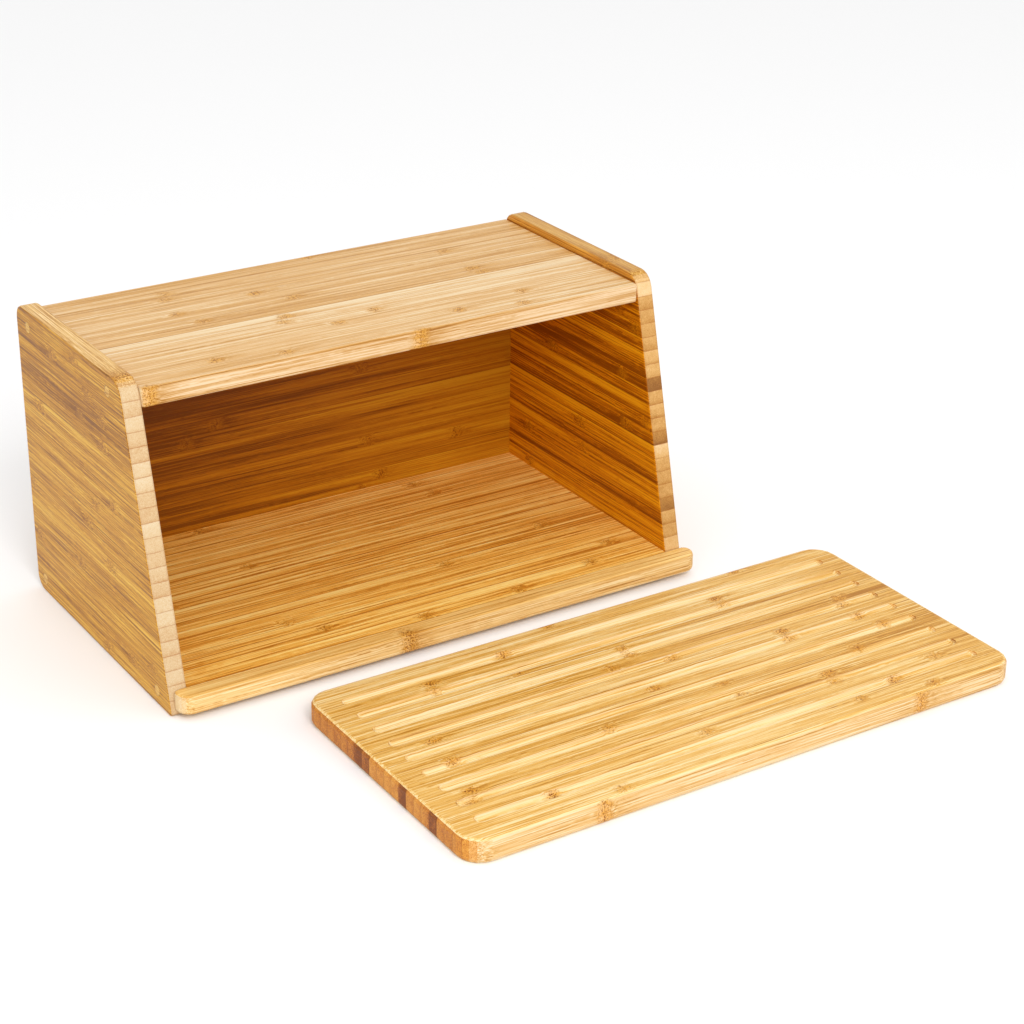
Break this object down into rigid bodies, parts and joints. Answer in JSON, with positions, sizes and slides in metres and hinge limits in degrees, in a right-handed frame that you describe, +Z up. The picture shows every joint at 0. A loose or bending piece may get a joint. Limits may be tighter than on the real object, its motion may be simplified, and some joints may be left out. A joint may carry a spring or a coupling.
{
  "type": "bread box with cutting board lid",
  "caption": "Open-fronted bamboo bread box with sloping sides, and a lift-off lid that serves as a grooved cutting board, lying in front.",
  "frame": {"origin": "middle of the footprint of the box and its lid on the table, at table height", "axes": "+X along the width to the right as seen from the open front, -Y out of the open front, +Z up"},
  "size_m": [0.491, 0.464, 0.2105],
  "materials": {
    "bamboo_side": "oiled, satin",
    "bamboo_pale": "oiled, satin",
    "bamboo_warm": "oiled, satin",
    "bamboo_board": "oiled, satin",
    "bamboo_plug": "oiled, satin",
    "zinc_steel": "zinc plated"
  },
  "bodies": {
    "box": {"left_side_panel": "bamboo_side", "right_side_panel": "bamboo_side", "top_panel": "bamboo_pale", "base_panel": "bamboo_warm", "back_panel": "bamboo_warm", "front_lip": "bamboo_pale", "plug_left_top_back": "bamboo_plug", "plug_left_top_front": "bamboo_plug", "plug_left_base_back": "bamboo_plug", "plug_left_base_front": "bamboo_plug", "plug_right_top_back": "bamboo_plug", "plug_right_top_front": "bamboo_plug", "plug_right_base_back": "bamboo_plug", "plug_right_base_front": "bamboo_plug", "screw_left_top_back": "zinc_steel", "screw_left_top_front": "zinc_steel", "screw_left_base_back": "zinc_steel", "screw_left_base_front": "zinc_steel", "screw_right_top_back": "zinc_steel", "screw_right_top_front": "zinc_steel", "screw_right_base_back": "zinc_steel", "screw_right_base_front": "zinc_steel"},
    "lid": {"cutting_board_lid": "bamboo_board"}
  },
  "joints": [
    {"name": "lid_lift", "type": "slide", "parent": "box", "child": "lid", "axis": [0, 0, 1], "range_m": [0, 0.22]}
  ]
}
